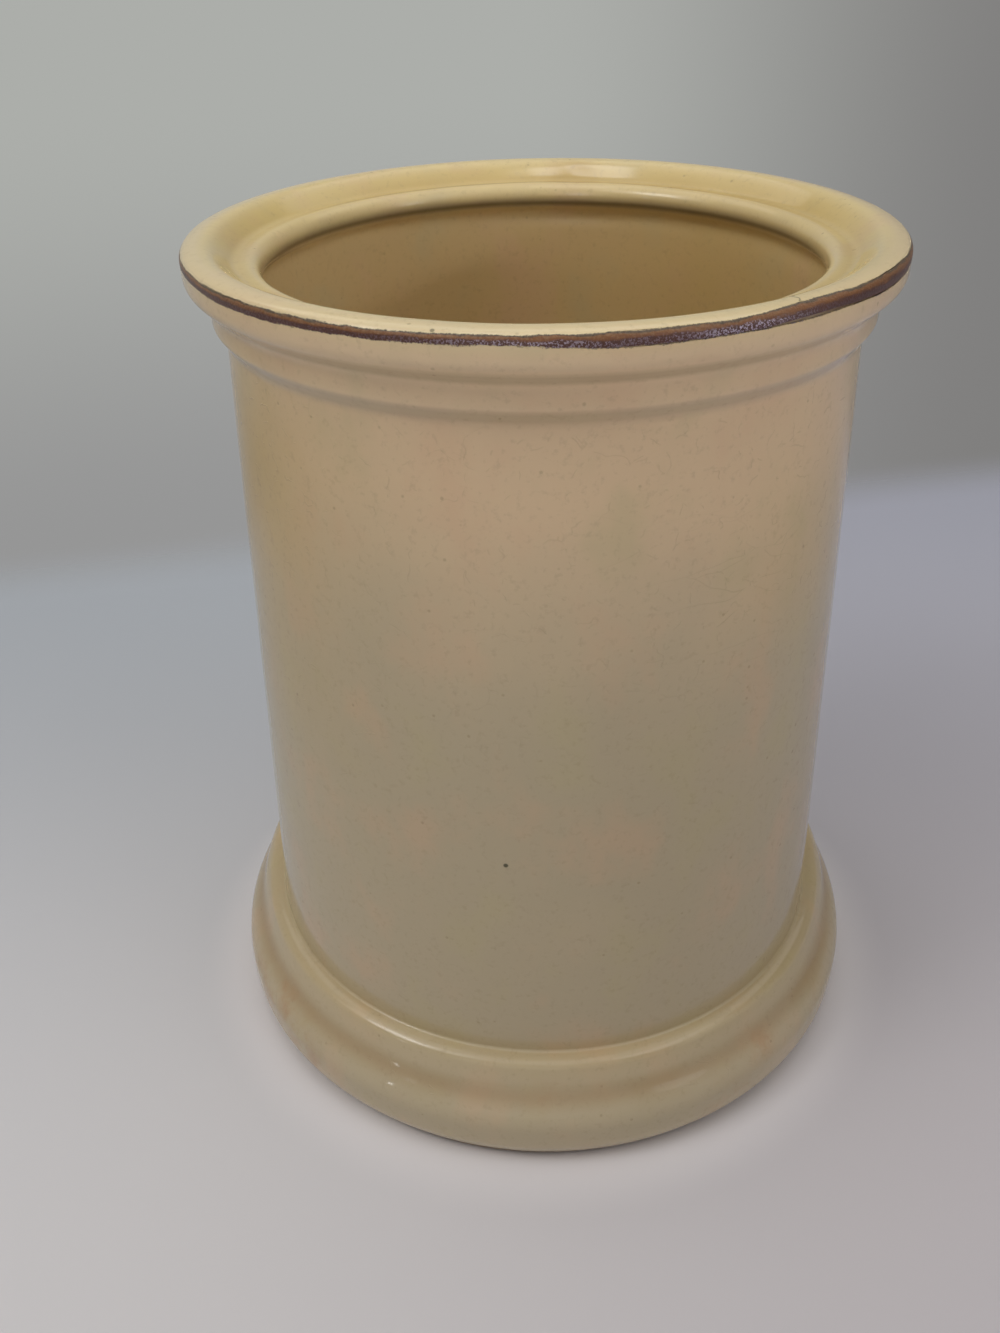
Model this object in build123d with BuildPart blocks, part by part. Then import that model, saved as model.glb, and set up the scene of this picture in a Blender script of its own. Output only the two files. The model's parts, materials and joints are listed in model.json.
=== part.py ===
from build123d import *
from math import radians, tan
import os

# A free-standing stoneware utensil crock, 175 mm tall, in its own frame: the origin is the centre of
# the base on the table, +Z is up. It is one fired pot. Its pieces are the layers that the potter lays
# one on another: the clay body, the glaze outside, the glaze inside and the brown band on the lip.
# Every length is in millimetres. Radii are measured from the axis, and they include the glaze.

# Whole pot
height = 175.0
wall_radius = 63.85
wall_taper = 4.15
wall_thickness = 6.0
floor_thickness = 7.0
floor_round = 7.0

# Foot: a ring to stand on, a rounded bead, a shallow cove and a broad roll that meets the wall in a
# sharp crease
foot_overhang = 10.1
foot_tuck = 2.9
foot_tuck_height = 5.0
foot_shoulder_height = 13.6
cove_width = 7.5
cove_height = 18.3
roll_width = 6.8
roll_height = 24.1
crease_height = 23.7
stand_edge_round = 1.2
foot_tuck_round = 7.0
foot_shoulder_round = 12.0
cove_round = 8.0
roll_round = 3.4

# Underside: bare clay, hollowed inside the ring that the pot stands on
stand_width = 7.0
base_recess = 3.0
recess_draft = 2.0

# Bead under the rim, as widths past the wall and depths below the top of the pot
bead_width = 2.3
neck_drop = 16.55
bead_bottom_drop = 13.3
bead_top_drop = 9.6
neck_round = 2.5
bead_round = 1.6
flare_round = 3.0

# Flared lip
lip_overhang = 6.35
lip_edge_drop = 5.95
lip_shoulder_drop = 0.65
crest_setback = 2.4
crest_width = 2.6
lip_edge_round = 3.0
lip_shoulder_round = 1.75
crest_outer_round = 8.0
crest_inner_round = 5.0

# Gallery inside the lip: a rounded step down to a ledge, and the roll round the mouth
gallery_drop = 3.8
ledge_width = 5.0
ledge_drop = 3.3
mouth_inset = 2.05
mouth_drop = 7.5
throat_drop = 10.2
gallery_round = 2.5
mouth_round = 2.6
throat_round = 2.0

# Glaze and band
glaze_thickness = 0.4
bare_foot_height = 1.5
band_drop = 2.6
band_reach = 0.9

# Clearances of the construction
axis_overrun = 2.0
cut_overrun = 5.0
run_share = 0.98

# Places that follow from the sizes above
foot_radius = wall_radius + foot_overhang
stand_radius = foot_radius - foot_tuck
recess_radius = stand_radius - stand_width
neck_radius = wall_radius - wall_taper
lip_radius = neck_radius + lip_overhang
crest_outer_radius = lip_radius - crest_setback
crest_inner_radius = crest_outer_radius - crest_width
mouth_radius = neck_radius - wall_thickness - mouth_inset
gallery_radius = mouth_radius + ledge_width
floor_height = base_recess + floor_thickness


def inside_corners():
    """The floor, the wall and the throat, from the axis up: radius, height and rounding of each corner."""
    return [
        (wall_radius - wall_thickness, floor_height, floor_round),
        (neck_radius - wall_thickness, height - throat_drop, throat_round),
        (mouth_radius, height - mouth_drop, throat_round),
    ]


def rim_corners():
    """The mouth, the gallery, the crest and the flared lip, from the throat outwards."""
    return [
        (mouth_radius, height - ledge_drop, mouth_round),
        (gallery_radius, height - gallery_drop, gallery_round),
        (crest_inner_radius, height, crest_inner_round),
        (crest_outer_radius, height, crest_outer_round),
        (lip_radius, height - lip_shoulder_drop, lip_shoulder_round),
        (lip_radius, height - lip_edge_drop, lip_edge_round),
    ]


def outside_corners():
    """The bead under the lip, the wall and the foot, from the lip down to the table."""
    return [
        (neck_radius + bead_width, height - bead_top_drop, flare_round),
        (neck_radius + bead_width, height - bead_bottom_drop, bead_round),
        (neck_radius, height - neck_drop, neck_round),
        (wall_radius, crease_height, 0),
        (wall_radius + roll_width, roll_height, roll_round),
        (wall_radius + cove_width, cove_height, cove_round),
        (foot_radius, foot_shoulder_height, foot_shoulder_round),
        (foot_radius, foot_tuck_height, foot_tuck_round),
        (stand_radius, 0, stand_edge_round),
    ]


def underside_corners():
    """The inner edge of the ring that the pot stands on, and the hollow inside it."""
    return [
        (recess_radius, 0, stand_edge_round),
        (recess_radius - recess_draft, base_recess, 0),
    ]


def fitted_rounds(points, rounds):
    """Each corner's rounding, drawn in only where two of them would meet on the run between."""
    spots = [Vector(*point) for point in points]
    runs = [after - before for before, after in zip(spots, spots[1:])]
    turns = [first.get_angle(second) for first, second in zip(runs, runs[1:])]
    reaches = [size * tan(radians(turn / 2)) for size, turn in zip(rounds, turns)]
    needs = [first + second for first, second in zip([0] + reaches, reaches + [0])]
    spare = [run_share * run.length for run in runs]
    room = [free / max(free, need) for free, need in zip(spare, needs)]
    return [size * min(before, after) for size, before, after in zip(rounds, room, room[1:])]


# Section of the glazed pot, from the axis over the rim and down to the table, on the XZ plane
corners = inside_corners() + rim_corners() + outside_corners() + underside_corners()
outline = [(-axis_overrun, floor_height)]
outline += [(radius, level) for radius, level, rounding in corners]
outline += [(-axis_overrun, base_recess)]
outline_rounds = fitted_rounds(outline, [rounding for radius, level, rounding in corners])

with BuildSketch(Plane.XZ) as pot_section:
    with BuildLine() as pot_outline:
        FilletPolyline(*outline, radius=outline_rounds)
        Line(outline[-1], outline[0])
    make_face()

# The clay lies one glaze thickness under the glazed surface, and it is bare underneath the pot
with BuildSketch(Plane.XZ) as clay_section:
    add(pot_section.sketch_local)
    offset(amount=-glaze_thickness, kind=Kind.INTERSECTION)
    with BuildSketch(Plane.XY, mode=Mode.PRIVATE) as bare_section:
        add(pot_section.sketch_local)
        with Locations((0, -cut_overrun)):
            Rectangle(foot_radius + cut_overrun, bare_foot_height + cut_overrun,
                      align=(Align.MIN, Align.MIN), mode=Mode.INTERSECT)
    with BuildSketch(Plane.XY, mode=Mode.PRIVATE) as floor_section:
        add(pot_section.sketch_local)
        Rectangle(stand_radius - glaze_thickness, base_recess + floor_thickness / 2,
                  align=(Align.MIN, Align.MIN), mode=Mode.INTERSECT)
    add(bare_section.sketch_local)
    add(floor_section.sketch_local)
    Rectangle(foot_radius + cut_overrun, height + cut_overrun, align=(Align.MIN, Align.MIN),
              mode=Mode.INTERSECT)

with BuildPart() as crock_body:
    add(clay_section.sketch)
    revolve(axis=Axis.Z)
crock_body.part.label = "crock_body"

# The coat is the rest of the section: the brown band parts it into an outer and an inner glaze
with BuildSketch(Plane.XZ) as coat_section:
    add(pot_section.sketch_local)
    Rectangle(foot_radius + cut_overrun, height + cut_overrun, align=(Align.MIN, Align.MIN),
              mode=Mode.INTERSECT)
    add(clay_section.sketch_local, mode=Mode.SUBTRACT)

with BuildSketch(Plane.XZ) as band_section:
    add(coat_section.sketch_local)
    with Locations((lip_radius - band_reach, height - band_drop)):
        Rectangle(band_reach + cut_overrun, band_drop + cut_overrun, align=(Align.MIN, Align.MIN),
                  mode=Mode.INTERSECT)

with BuildSketch(Plane.XZ) as glaze_section:
    add(coat_section.sketch_local)
    add(band_section.sketch_local, mode=Mode.SUBTRACT)

with BuildPart() as outer_glaze:
    add(glaze_section.sketch.faces().sort_by(Axis.X)[-1])
    revolve(axis=Axis.Z)
outer_glaze.part.label = "outer_glaze"

with BuildPart() as inner_glaze:
    add(glaze_section.sketch.faces().sort_by(Axis.X)[0])
    revolve(axis=Axis.Z)
inner_glaze.part.label = "inner_glaze"

with BuildPart() as rim_band:
    add(band_section.sketch)
    revolve(axis=Axis.Z)
rim_band.part.label = "rim_band"

os.makedirs("parts", exist_ok=True)
for piece in (crock_body, outer_glaze, inner_glaze, rim_band):
    export_step(piece.part, f"parts/{piece.part.label}.step")
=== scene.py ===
import json
import logging
import math
from dataclasses import dataclass, replace
from enum import Enum
from functools import partial, reduce
from typing import Sequence

import bpy
import numpy as np
from mathutils import Matrix, Vector


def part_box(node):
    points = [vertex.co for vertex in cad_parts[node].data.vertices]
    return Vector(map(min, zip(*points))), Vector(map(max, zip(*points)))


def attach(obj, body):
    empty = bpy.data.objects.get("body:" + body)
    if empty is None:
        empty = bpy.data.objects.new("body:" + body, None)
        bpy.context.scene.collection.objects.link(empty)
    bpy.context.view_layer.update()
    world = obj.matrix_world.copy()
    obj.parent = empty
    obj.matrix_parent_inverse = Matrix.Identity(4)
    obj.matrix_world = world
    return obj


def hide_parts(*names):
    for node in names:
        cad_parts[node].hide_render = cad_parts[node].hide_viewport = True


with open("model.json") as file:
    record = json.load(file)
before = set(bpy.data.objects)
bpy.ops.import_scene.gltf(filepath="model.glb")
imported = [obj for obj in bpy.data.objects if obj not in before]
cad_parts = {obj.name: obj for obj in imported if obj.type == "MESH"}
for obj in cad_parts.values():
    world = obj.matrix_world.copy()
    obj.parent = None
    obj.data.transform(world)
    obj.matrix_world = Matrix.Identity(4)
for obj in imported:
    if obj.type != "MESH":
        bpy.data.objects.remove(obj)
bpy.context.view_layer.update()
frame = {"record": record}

log = logging.getLogger("crock")

Array = np.ndarray
Colour = tuple[float, float, float]
Place = tuple[float, float, float]
Span = tuple[float, float]
Speck = tuple[Place, float, float]
Socket = bpy.types.NodeSocket
Input = Socket | float | Place
Inputs = dict[str | int, Input]
Reach = tuple[float, float, float, float]

# Metres in a millimetre, the millimetres within which two lengths are the same, the middle of a noise
MM = 0.001
TOUCH = 1e-4
MIDDLE = 0.5
PHOTO_PIXELS = (1000, 1333)
RISING: Span = (0.0, 1.0)
FALLING: Span = (1.0, 0.0)
EVEN: Place = (1.0, 1.0, 1.0)
OVER_MOUTH: Place = (0.0, 0.0, 0.19)
OVER_FRONT: Place = (0.01, 0.0, 0.185)


def paint(red: float, green: float, blue: float) -> Colour:
    """A linear colour from the 0 to 255 values that a screen shows.

    A screen's curve is a straight line for dark values and a lifted power above them.

    Args:
        red: Red as shown.
        green: Green as shown.
        blue: Blue as shown.

    Returns:
        The three values in linear light.
    """
    dark, slope, lift, power = 0.04045, 12.92, 0.055, 2.4
    shown = np.array([red, green, blue]) / 255
    linear = np.where(shown <= dark, shown / slope, ((shown + lift) / (1 + lift)) ** power)
    return tuple(float(value) for value in linear)


class Layer(Enum):
    """The layers that the potter laid one on another, by the frame's node of each."""

    CLAY = "crock_body"
    OUTER = "outer_glaze"
    INNER = "inner_glaze"
    BAND = "rim_band"

    def slot(self) -> str:
        """The material slot that the record gives this layer."""
        return {part["node"]: part["material_slot"] for part in frame["record"]["subparts"]}[self.value]


# Curves


def ramp(value: Array, start: Array | float, length: float) -> Array:
    """Goes straight from 0 at the start to 1 a length further on, or further back if it is negative."""
    return np.clip((value - start) / length, 0.0, 1.0)


def bell(distance: Array, spread: float) -> Array:
    """A bell curve: e to the power of minus the square of the distance over the spread."""
    return np.exp(-((distance / spread) ** 2))


def turned_from(angle: Array, degrees: float) -> Array:
    """The angle from one in degrees to each angle in radians, the short way round."""
    return np.angle(np.exp(1j * (angle - math.radians(degrees))))


# The turned section


@dataclass(frozen=True)
class Section:
    """The pot's half section in millimetres: radii from the axis, heights from the table.

    The three overall sizes are read from the frame. The rest are widths past the wall or the neck and
    drops below the top of the pot. At the front of the foot the roll was wiped narrower.
    """

    height: float
    lip_radius: float
    foot_radius: float
    wall_thickness: float = 6.0
    floor_thickness: float = 7.0
    floor_round: float = 7.0
    foot_overhang: float = 10.1
    foot_tuck: float = 2.9
    foot_tuck_height: float = 5.0
    foot_shoulder_height: float = 13.6
    cove_width: float = 7.5
    cove_height: float = 18.3
    roll_width: float = 6.8
    roll_height: float = 24.1
    crease_height: float = 23.7
    stand_edge_round: float = 1.2
    foot_tuck_round: float = 7.0
    foot_shoulder_round: float = 12.0
    cove_round: float = 8.0
    roll_round: float = 3.4
    crease_round: float = 0.5
    wiped_roll_width: float = 3.1
    wiped_roll_height: float = 23.9
    wiped_roll_round: float = 2.6
    wiped_cove_width: float = 5.5
    wiped_cove_height: float = 17.4
    wiped_foot_shoulder_height: float = 13.2
    wiped_foot_shoulder_round: float = 8.0
    stand_width: float = 7.0
    base_recess: float = 3.0
    recess_draft: float = 2.0
    recess_round: float = 2.2
    bead_width: float = 2.3
    neck_drop: float = 16.55
    bead_bottom_drop: float = 13.3
    bead_top_drop: float = 9.6
    neck_round: float = 2.5
    bead_round: float = 1.6
    flare_round: float = 3.0
    lip_overhang: float = 6.35
    lip_edge_drop: float = 5.95
    lip_shoulder_drop: float = 0.65
    crest_setback: float = 2.4
    crest_width: float = 2.6
    lip_edge_round: float = 3.0
    lip_shoulder_round: float = 1.75
    crest_outer_round: float = 8.0
    crest_inner_round: float = 5.0
    gallery_drop: float = 3.8
    ledge_width: float = 5.0
    ledge_drop: float = 3.3
    mouth_inset: float = 2.05
    mouth_drop: float = 7.5
    throat_drop: float = 10.2
    gallery_round: float = 2.5
    mouth_round: float = 2.6
    throat_round: float = 2.0

    @classmethod
    def from_frame(cls) -> "Section":
        """Reads the overall sizes from the frame's solids.

        Returns:
            The section.
        """
        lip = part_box(Layer.BAND.value)
        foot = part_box(Layer.OUTER.value)
        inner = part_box(Layer.INNER.value)
        return cls(
            height=inner[1][2] / MM,
            lip_radius=(lip[1][0] - lip[0][0]) / 2 / MM,
            foot_radius=(foot[1][0] - foot[0][0]) / 2 / MM,
        )

    def wiped(self) -> "Section":
        """The section at the front of the foot, with each wiped size in place of the plain one."""
        sizes = {name: size for name, size in vars(self).items() if name.startswith("wiped_")}
        return replace(self, **{name.removeprefix("wiped_"): size for name, size in sizes.items()})

    @property
    def wall_radius(self) -> float:
        """The outside radius of the wall at its foot."""
        return self.foot_radius - self.foot_overhang

    @property
    def neck_radius(self) -> float:
        """The outside radius of the wall under the bead."""
        return self.lip_radius - self.lip_overhang

    @property
    def mouth_radius(self) -> float:
        """The inside radius of the roll round the mouth."""
        return self.neck_radius - self.wall_thickness - self.mouth_inset

    @property
    def floor_height(self) -> float:
        """The height of the floor's upper side."""
        return self.base_recess + self.floor_thickness

    def inside(self) -> list[Place]:
        """The corners of the floor, the wall and the throat.

        Returns:
            Radius, height and rounding of each.
        """
        top = self.height
        return [
            (self.wall_radius - self.wall_thickness, self.floor_height, self.floor_round),
            (self.neck_radius - self.wall_thickness, top - self.throat_drop, self.throat_round),
            (self.mouth_radius, top - self.mouth_drop, self.throat_round),
        ]

    def rim(self) -> list[Place]:
        """The corners of the mouth, the gallery, the crest and the flared lip.

        Returns:
            Radius, height and rounding of each.
        """
        top = self.height
        crest_outer = self.lip_radius - self.crest_setback
        return [
            (self.mouth_radius, top - self.ledge_drop, self.mouth_round),
            (self.mouth_radius + self.ledge_width, top - self.gallery_drop, self.gallery_round),
            (crest_outer - self.crest_width, top, self.crest_inner_round),
            (crest_outer, top, self.crest_outer_round),
            (self.lip_radius, top - self.lip_shoulder_drop, self.lip_shoulder_round),
            (self.lip_radius, top - self.lip_edge_drop, self.lip_edge_round),
        ]

    def outside(self) -> list[Place]:
        """The corners of the bead under the lip, the wall and the foot.

        Returns:
            Radius, height and rounding of each.
        """
        top, wall, foot = self.height, self.wall_radius, self.foot_radius
        bead = self.neck_radius + self.bead_width
        return [
            (bead, top - self.bead_top_drop, self.flare_round),
            (bead, top - self.bead_bottom_drop, self.bead_round),
            (self.neck_radius, top - self.neck_drop, self.neck_round),
            (wall, self.crease_height, self.crease_round),
            (wall + self.roll_width, self.roll_height, self.roll_round),
            (wall + self.cove_width, self.cove_height, self.cove_round),
            (foot, self.foot_shoulder_height, self.foot_shoulder_round),
            (foot, self.foot_tuck_height, self.foot_tuck_round),
            (foot - self.foot_tuck, 0.0, self.stand_edge_round),
        ]

    def underside(self) -> list[Place]:
        """The corners of the hollow inside the ring that the pot stands on.

        Returns:
            Radius, height and rounding of each.
        """
        ring = self.foot_radius - self.foot_tuck - self.stand_width
        return [
            (ring, 0.0, self.stand_edge_round),
            (ring - self.recess_draft, self.base_recess, self.recess_round),
        ]


class SectionPath:
    """The section as one path from the floor's middle, over the rim, to the underside's middle.

    A place on it is its run, the length of path before it, in millimetres. Rows of a mesh are closest
    together at the throat, a little over its corner.
    """

    THROAT_RISE = 1.0
    THROAT_REACH = 3.5
    THROAT_STEP = 0.9
    STRAIGHT_SHARE = 0.98
    BELL_REACH = 4
    HOLLOW_GAIN = 1.6

    def __init__(
        self, section: Section, arc_steps: int = 24, fine: float = 0.05, least: float = 0.001
    ) -> None:
        """Rounds the section's corners and samples the path evenly.

        Args:
            section: The sizes.
            arc_steps: Points on the arc of each rounding.
            fine: Length between samples, in millimetres.
            least: Distance in millimetres under which two points of the outline count as one.
        """
        corners = np.array(section.inside() + section.rim() + section.outside() + section.underside())
        ends = np.array([[0.0, section.floor_height], [0.0, section.base_recess]])
        spots = np.vstack([ends[:1], corners[:, :2], ends[1:]])
        line = self._rounded(spots, corners[:, 2], arc_steps)
        line = line[np.r_[True, np.linalg.norm(np.diff(line, axis=0), axis=1) > least]]
        length = np.r_[0.0, np.cumsum(np.linalg.norm(np.diff(line, axis=0), axis=1))]
        self.length: float = float(length[-1])
        self.run = np.linspace(0.0, self.length, int(self.length / fine) + 1)
        self.radius = np.interp(self.run, length, line[:, 0])
        self.height = np.interp(self.run, length, line[:, 1])
        step = np.gradient(self.radius), np.gradient(self.height)
        self.heading = np.unwrap(np.arctan2(step[1], step[0]))
        self.bend = np.gradient(self.heading, self.run)
        throat_height = section.height - section.throat_drop + self.THROAT_RISE
        self.throat = self.nearest(section.mouth_radius, throat_height)

    @classmethod
    def _rounded(cls, spots: Array, rounding: Array, steps: int) -> Array:
        """Puts an arc in each corner of a path.

        An arc of radius R in a corner that turns by t starts and ends R tan(t/2) from the corner. Where
        two arcs would meet on the run between, both are drawn in to share it.

        Args:
            spots: Corner points with both ends, one row each.
            rounding: Radius at each inner corner.
            steps: Points on each arc.

        Returns:
            Points along the rounded path.
        """
        runs = np.diff(spots, axis=0)
        size = np.linalg.norm(runs, axis=1)
        unit = runs / size[:, None]
        before, after = unit[:-1], unit[1:]
        cross = before[:, 0] * after[:, 1] - before[:, 1] * after[:, 0]
        turn = np.arctan2(np.abs(cross), (before * after).sum(1))
        reach = rounding * np.tan(turn / 2)
        need = np.r_[0.0, reach] + np.r_[reach, 0.0]
        room = cls.STRAIGHT_SHARE * size / np.maximum(cls.STRAIGHT_SHARE * size, need)
        radius = rounding * np.minimum(room[:-1], room[1:])
        reach = radius * np.tan(turn / 2)
        side = np.sign(cross)
        start = spots[1:-1] - before * reach[:, None]
        left = np.stack([-before[:, 1], before[:, 0]], 1) * side[:, None]
        centre = start + left * radius[:, None]
        swept = (side * turn)[:, None] * np.linspace(0.0, 1.0, steps)[None]
        spoke = (start - centre)[:, None, :]
        arc = np.stack(
            [
                spoke[..., 0] * np.cos(swept) - spoke[..., 1] * np.sin(swept),
                spoke[..., 0] * np.sin(swept) + spoke[..., 1] * np.cos(swept),
            ],
            -1,
        )
        return np.vstack([spots[:1], (centre[:, None] + arc).reshape(-1, 2), spots[-1:]])

    def place(self, run: Array) -> tuple[Array, Array, Array, Array]:
        """Radius, height and the normal's two parts at each run.

        The normal is the path's direction turned a quarter to the left, which is the pot's free side.

        Args:
            run: Lengths along the path.

        Returns:
            Radius, height, outward part and upward part.
        """
        heading = np.interp(run, self.run, self.heading)
        return (
            np.interp(run, self.run, self.radius),
            np.interp(run, self.run, self.height),
            -np.sin(heading),
            np.cos(heading),
        )

    def nearest(self, radius: float, height: float) -> float:
        """The run of the path's nearest point to a radius and a height."""
        return float(self.run[np.hypot(self.radius - radius, self.height - height).argmin()])

    def hollowness(self, spread: float) -> Array:
        """How hollow the surface is along the path, from -1 on an edge to 1 in a crease.

        The turning of the path, hollow side positive, is averaged by a bell curve of the given spread
        and pressed into its range by a hyperbolic tangent.

        Args:
            spread: Width of the bell curve in millimetres.

        Returns:
            One value for each sample of the path.
        """
        step = self.run[1] - self.run[0]
        reach = np.arange(-self.BELL_REACH * spread, self.BELL_REACH * spread + step, step)
        weights = np.exp(-((reach / spread) ** 2) / 2)
        return np.tanh(np.convolve(self.bend * step, weights, mode="same") * self.HOLLOW_GAIN)

    def stations(self, start: float, stop: float, step: float, turn: float) -> Array:
        """Runs between two places, closer together where the path bends and at the throat.

        Every interval has the same sum of its length over step, its turning over turn and a bell curve
        round the throat.

        Args:
            start: First run.
            stop: Last run.
            step: Longest interval, in millimetres.
            turn: Most turning in an interval, in degrees.

        Returns:
            The runs, both ends included.
        """
        inside = (self.run >= start) & (self.run <= stop)
        run, bend = self.run[inside], np.abs(self.bend[inside])
        close = bell(run - self.throat, self.THROAT_REACH) / self.THROAT_STEP
        weight = np.cumsum(1 / step + bend / math.radians(turn) + close) * (self.run[1] - self.run[0])
        count = max(2, int(math.ceil(weight[-1])))
        found = np.interp(np.linspace(weight[0], weight[-1], count), weight, run)
        return np.r_[start, found[1:-1], stop]


# The potter's hand


@dataclass(frozen=True)
class Ripple:
    """A gentle uneven pattern that closes on itself round the pot.

    It is a sum of cosines of m times the angle plus run over a wavelength, with m a whole number, so
    that it meets itself after a full turn. Their strengths, wavelengths and phases are drawn from a
    seeded generator, and the sum never passes the pattern's own strength.

    Its values are that strength and the seed, the fewest and most periods round the pot, the shortest
    and longest wavelength along the section, the number of cosines and their least and most strength.
    Lengths are in millimetres.
    """

    strength: float
    seed: int
    turns: tuple[int, int]
    waves: Span = (1.0, 2.0)
    cosines: int = 14
    shares: Span = (0.4, 1.0)

    def rise(self, angle: Array, run: Array | float = 0.0) -> Array:
        """The height of the pattern.

        Args:
            angle: Angles round the pot in radians.
            run: Runs in millimetres, of a shape that goes with angle.

        Returns:
            Heights in millimetres, above and below zero.
        """
        draw = np.random.default_rng(self.seed)
        total = np.zeros(np.broadcast(angle, run).shape)
        shares = draw.uniform(*self.shares, self.cosines)
        for share in shares:
            m = draw.integers(self.turns[0], self.turns[1] + 1)
            wave = draw.uniform(*self.waves) * draw.choice([-1.0, 1.0])
            total += share * np.cos(m * angle + 2 * math.pi * run / wave + draw.uniform(0, 2 * math.pi))
        return self.strength * (total / shares.sum())


@dataclass(frozen=True)
class Dab:
    """A place round the pot where the brush did more: its angle and width in degrees, and how much."""

    angle: float
    width: float
    reach: float

    def profile(self, angle: Array) -> Array:
        """A bell curve round the dab's own angle, as high as its reach."""
        return self.reach * bell(turned_from(angle, self.angle), math.radians(self.width))


@dataclass(frozen=True)
class Blot:
    """A soft round patch on the surface: its angle in degrees, radius, height and size in
    millimetres, and its strength."""

    angle: float
    radius: float
    height: float
    size: float
    strength: float = 1.0


@dataclass(frozen=True)
class Hand:
    """How far the potter's hand and the kiln move the surface off its turned section, in millimetres."""

    slow: Ripple = Ripple(0.09, 3, (1, 5), (90.0, 260.0))
    swell: Ripple = Ripple(0.035, 5, (6, 19), (18.0, 60.0))
    rings: Ripple = Ripple(0.012, 8, (0, 2), (7.0, 15.0))
    inner_rings: Ripple = Ripple(0.10, 13, (0, 1), (9.0, 17.0))
    tool_marks: Ripple = Ripple(0.05, 21, (0, 1), (1.7, 4.5))
    grit: Ripple = Ripple(0.02, 22, (40, 120), (1.5, 4.0))
    throat_hollow: float = 0.65
    throat_hollow_drop: float = 0.6
    throat_hollow_spread: float = 1.9

    @staticmethod
    def sunk(ripples: Sequence[Ripple], angle: Array, run: Array) -> Array:
        """The sum of some ripples, each sunk by its strength so that nothing stands out of the solids."""
        return sum(ripple.rise(angle, run) - ripple.strength for ripple in ripples)

    def glazed(self, angle: Array, run: Array, inner: Array) -> Array:
        """The glazed surface's rise, never above zero, with a share of the inside's stronger rings."""
        plain = self.sunk((self.slow, self.swell, self.rings), angle, run)
        return plain + inner * self.sunk((self.inner_rings,), angle, run)

    def turned(self, angle: Array, run: Array) -> Array:
        """The bare underside's rise: rings that the turning tool cut, and grit."""
        return self.sunk((self.tool_marks, self.grit), angle, run)


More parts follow.
